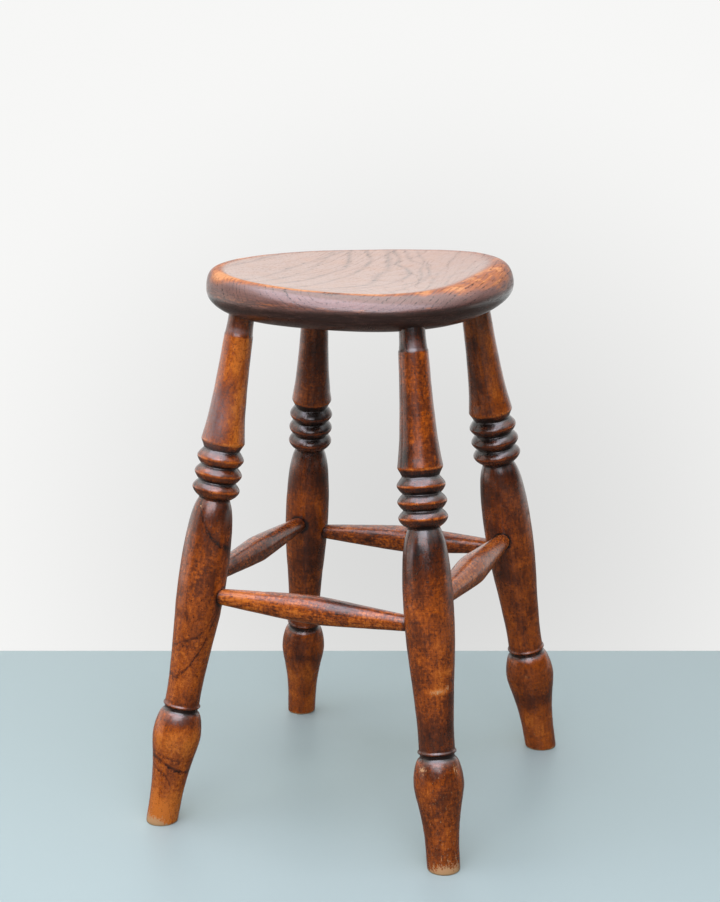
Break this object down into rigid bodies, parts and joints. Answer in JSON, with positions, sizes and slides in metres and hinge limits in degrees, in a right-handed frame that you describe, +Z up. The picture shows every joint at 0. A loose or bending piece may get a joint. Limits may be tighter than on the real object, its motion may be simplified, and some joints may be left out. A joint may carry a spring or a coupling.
{
  "type": "windsor stool",
  "caption": "Low wooden stool with a dished, nearly round seat on splayed, ring-turned legs tied by spindle stretchers.",
  "frame": {"origin": "on the floor, under the middle of the box round the four feet", "axes": "+Z up; -Y towards the front stretcher; +X to the right, seen from the front"},
  "size_m": [0.3085, 0.3355, 0.5097],
  "materials": {
    "elm_seat": "waxed elm, worn pale on the dish and dark on the rim",
    "beech_legs": "stained and waxed beech, satin",
    "beech_stretchers": "stained and waxed beech, worn"
  },
  "bodies": {
    "root": {"seat": "elm_seat", "front_left_leg": "beech_legs", "front_right_leg": "beech_legs", "back_left_leg": "beech_legs", "back_right_leg": "beech_legs", "front_stretcher": "beech_stretchers", "back_stretcher": "beech_stretchers", "left_stretcher": "beech_stretchers", "right_stretcher": "beech_stretchers"}
  },
  "joints": []
}
